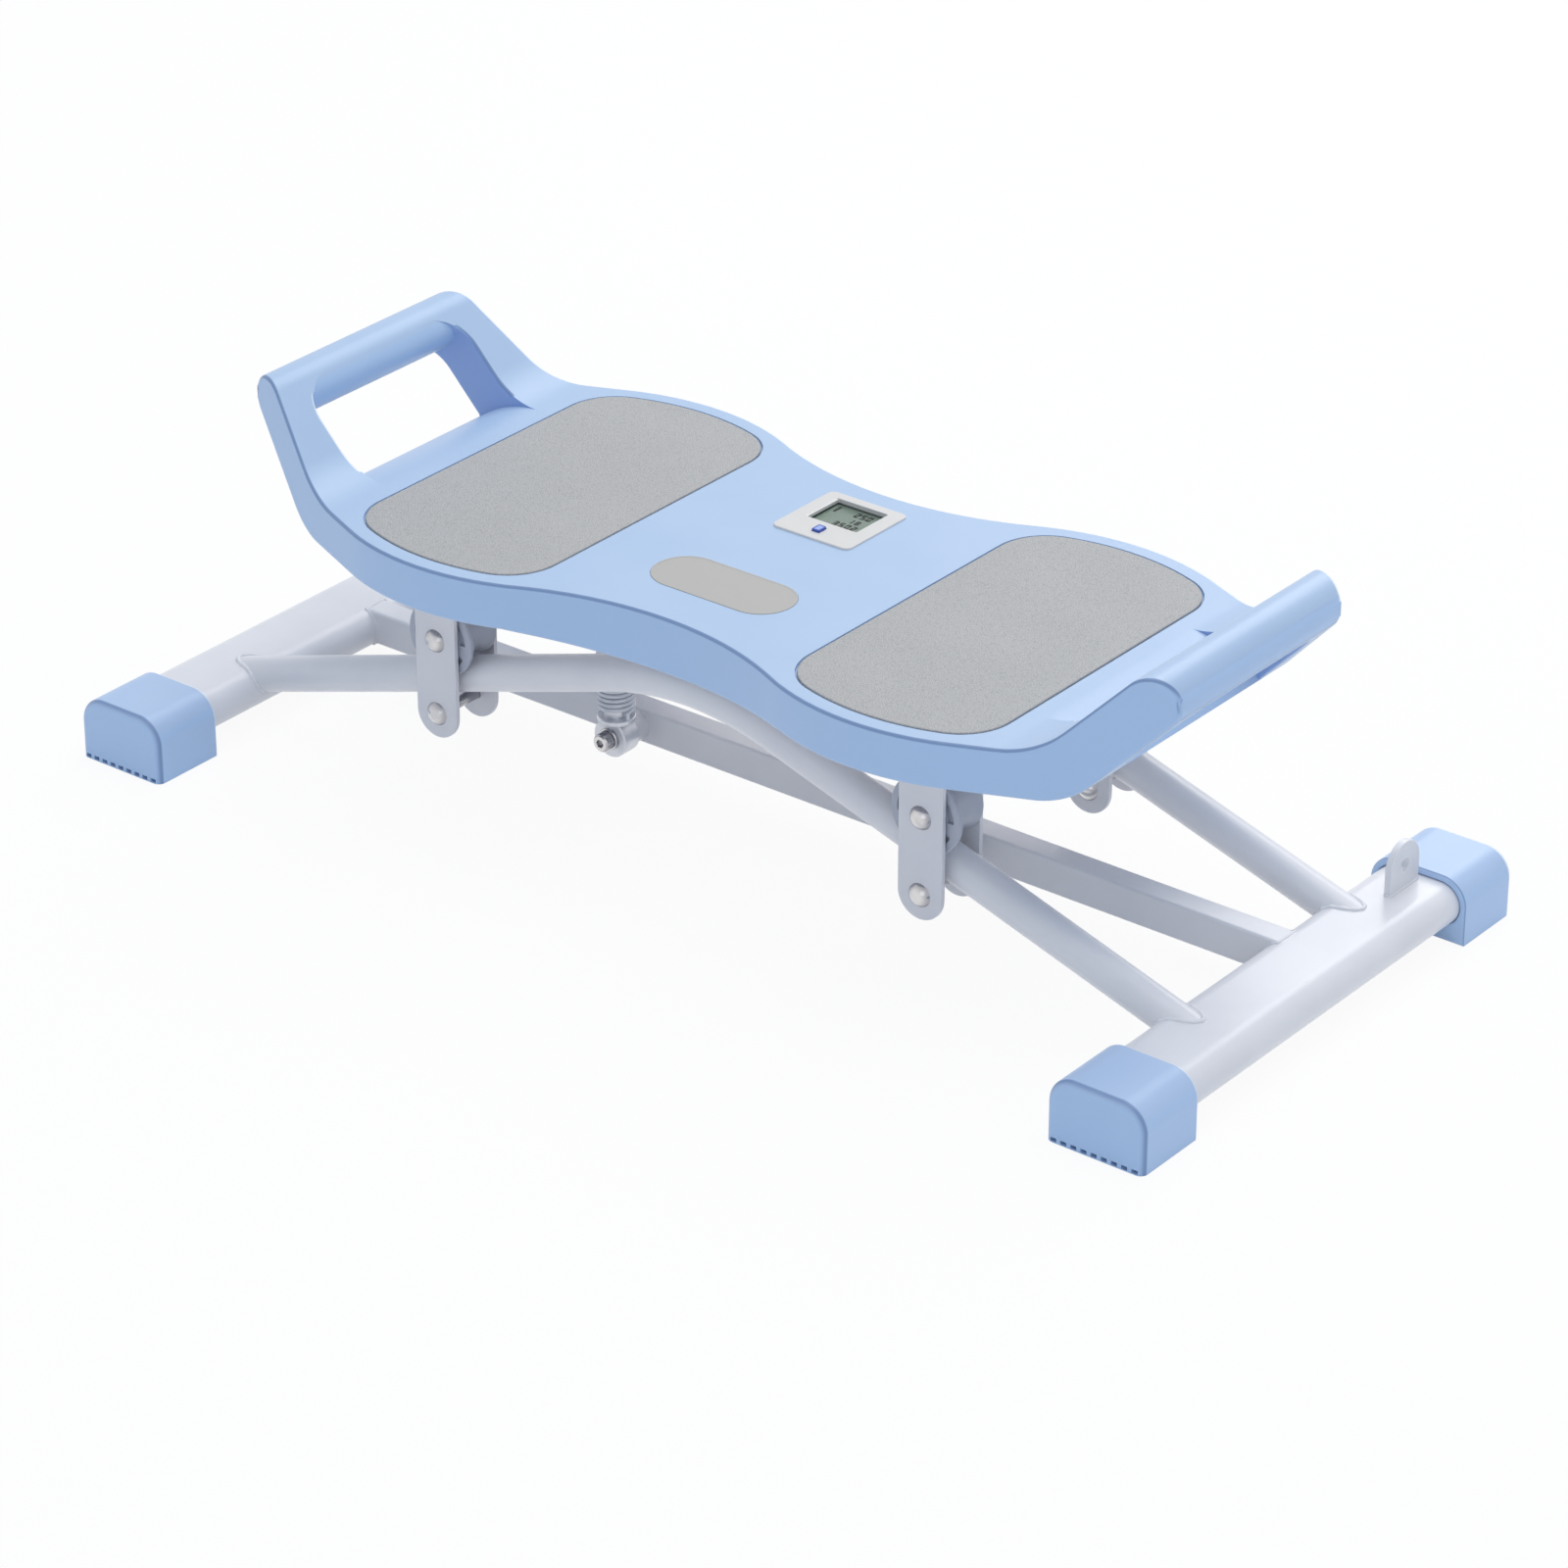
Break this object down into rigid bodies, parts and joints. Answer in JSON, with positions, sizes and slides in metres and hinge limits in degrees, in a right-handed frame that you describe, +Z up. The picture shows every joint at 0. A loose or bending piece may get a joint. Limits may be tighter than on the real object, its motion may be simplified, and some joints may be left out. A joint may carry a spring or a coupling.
{
  "type": "side glide exerciser",
  "caption": "Floor-standing side-to-side glide trainer: padded deck with raised hand grips rolls on bent rails, sprung back to centre, with a rep counter.",
  "frame": {"origin": "on the floor under the middle of the part, at the bottom centre of its box", "axes": "+X to the right along the rails and the deck, +Y to the rear, +Z up"},
  "size_m": [0.8944, 0.42, 0.2679],
  "materials": {
    "frame_white": "gloss powder coat",
    "cap_blue": "gloss",
    "deck_blue": "satin gloss",
    "chrome": "polished",
    "zinc": "zinc plated",
    "spring_steel": "satin",
    "bracket_steel": "satin powder coat",
    "sleeve": "turned",
    "roller_grey": "satin",
    "pad_grey": "fine leather grain",
    "badge": "satin",
    "bezel": "satin",
    "clear": "clear",
    "display": "matte",
    "board": "solder mask",
    "button": "satin"
  },
  "bodies": {
    "frame": {"left_crossbar": "frame_white", "right_crossbar": "frame_white", "front_rail": "frame_white", "rear_rail": "frame_white", "centre_beam": "frame_white", "front_left_cap": "cap_blue", "front_right_cap": "cap_blue", "rear_left_cap": "cap_blue", "rear_right_cap": "cap_blue", "left_band_lug": "frame_white", "right_band_lug": "frame_white", "left_spring_mount": "frame_white", "right_spring_mount": "frame_white", "spring_bolts": "chrome", "spring_washers": "chrome"},
    "left_axle": {"left_axle_bolts": "chrome", "left_axle_nuts": "chrome", "left_axle_sleeves": "sleeve"},
    "deck": {"deck_shell": "deck_blue", "base_plate": "bracket_steel", "deck_screws": "chrome", "left_foot_pad": "pad_grey", "right_foot_pad": "pad_grey", "badge_inlay": "badge", "counter_bezel": "bezel", "counter_window": "clear", "counter_display": "display", "counter_board": "board", "counter_battery": "zinc", "counter_back": "bezel", "front_left_bracket": "bracket_steel", "front_right_bracket": "bracket_steel", "rear_left_bracket": "bracket_steel", "rear_right_bracket": "bracket_steel", "bracket_bolts": "chrome", "bracket_nuts": "chrome", "keeper_bolts": "chrome", "keeper_nuts": "chrome", "right_axle_bolts": "chrome", "right_axle_nuts": "chrome", "right_axle_sleeves": "sleeve", "left_clevis": "bracket_steel", "right_clevis": "bracket_steel", "spring_pins": "chrome"},
    "front_left_wheel": {"front_left_roller": "roller_grey"},
    "rear_left_wheel": {"rear_left_roller": "roller_grey"},
    "front_right_wheel": {"front_right_roller": "roller_grey"},
    "rear_right_wheel": {"rear_right_roller": "roller_grey"},
    "left_spring_foot": {"left_spring_eye": "zinc", "left_spring": "spring_steel"},
    "right_spring_foot": {"right_spring_eye": "zinc", "right_spring": "spring_steel"},
    "left_spring_head": {"left_spring_top": "zinc"},
    "right_spring_head": {"right_spring_top": "zinc"},
    "button": {"counter_button": "button"}
  },
  "joints": [
    {"name": "glide", "type": "slide", "parent": "frame", "child": "left_axle", "axis": [0.9537, 0, 0.3007], "range_m": [-0.07, 0.07], "stiffness_N_per_m": 1200},
    {"name": "deck_tilt", "type": "hinge", "parent": "left_axle", "child": "deck", "pos_m": [-0.2037, 0, 0.1255], "axis": [0, 1, 0], "range_deg": [-6, 6]},
    {"name": "front_left_spin", "type": "hinge", "parent": "left_axle", "child": "front_left_wheel", "pos_m": [-0.2037, -0.0911, 0.1255], "axis": [0, 1, 0], "range_deg": [-225, 225]},
    {"name": "rear_left_spin", "type": "hinge", "parent": "left_axle", "child": "rear_left_wheel", "pos_m": [-0.2037, 0.0911, 0.1255], "axis": [0, 1, 0], "range_deg": [-225, 225]},
    {"name": "left_spring_swing", "type": "hinge", "parent": "frame", "child": "left_spring_foot", "pos_m": [-0.141, 0, 0.029], "axis": [0, 1, 0], "range_deg": [-30, 30], "deforming": ["left_spring"]},
    {"name": "left_spring_pin_turn", "type": "hinge", "parent": "deck", "child": "left_spring_head", "pos_m": [-0.141, 0, 0.158], "axis": [0, 1, 0], "range_deg": [-24, 24]},
    {"name": "front_right_spin", "type": "hinge", "parent": "deck", "child": "front_right_wheel", "pos_m": [0.2037, -0.0911, 0.1264], "axis": [0, 1, 0], "range_deg": [-225, 225]},
    {"name": "rear_right_spin", "type": "hinge", "parent": "deck", "child": "rear_right_wheel", "pos_m": [0.2037, 0.0911, 0.1264], "axis": [0, 1, 0], "range_deg": [-225, 225]},
    {"name": "right_spring_swing", "type": "hinge", "parent": "frame", "child": "right_spring_foot", "pos_m": [0.141, 0, 0.029], "axis": [0, 1, 0], "range_deg": [-30, 30], "deforming": ["right_spring"]},
    {"name": "right_spring_pin_turn", "type": "hinge", "parent": "deck", "child": "right_spring_head", "pos_m": [0.141, 0, 0.158], "axis": [0, 1, 0], "range_deg": [-24, 24]},
    {"name": "button_press", "type": "slide", "parent": "deck", "child": "button", "axis": [0, 0, -1], "range_m": [0, 0.001], "stiffness_N_per_m": 400, "springref_m": -0.0005}
  ],
  "couplings": [
    {"joint": "deck_tilt", "follows": "glide", "rad_per_m": 1.482},
    {"joint": "front_left_spin", "follows": "glide", "rad_per_m": 54.645},
    {"joint": "rear_left_spin", "follows": "glide", "rad_per_m": 54.645},
    {"joint": "left_spring_swing", "follows": "glide", "rad_per_m": 7.2},
    {"joint": "left_spring_pin_turn", "follows": "glide", "rad_per_m": 5.718},
    {"joint": "front_right_spin", "follows": "glide", "rad_per_m": 53.163},
    {"joint": "rear_right_spin", "follows": "glide", "rad_per_m": 53.163},
    {"joint": "right_spring_swing", "follows": "glide", "rad_per_m": 7.2},
    {"joint": "right_spring_pin_turn", "follows": "glide", "rad_per_m": 5.718}
  ]
}
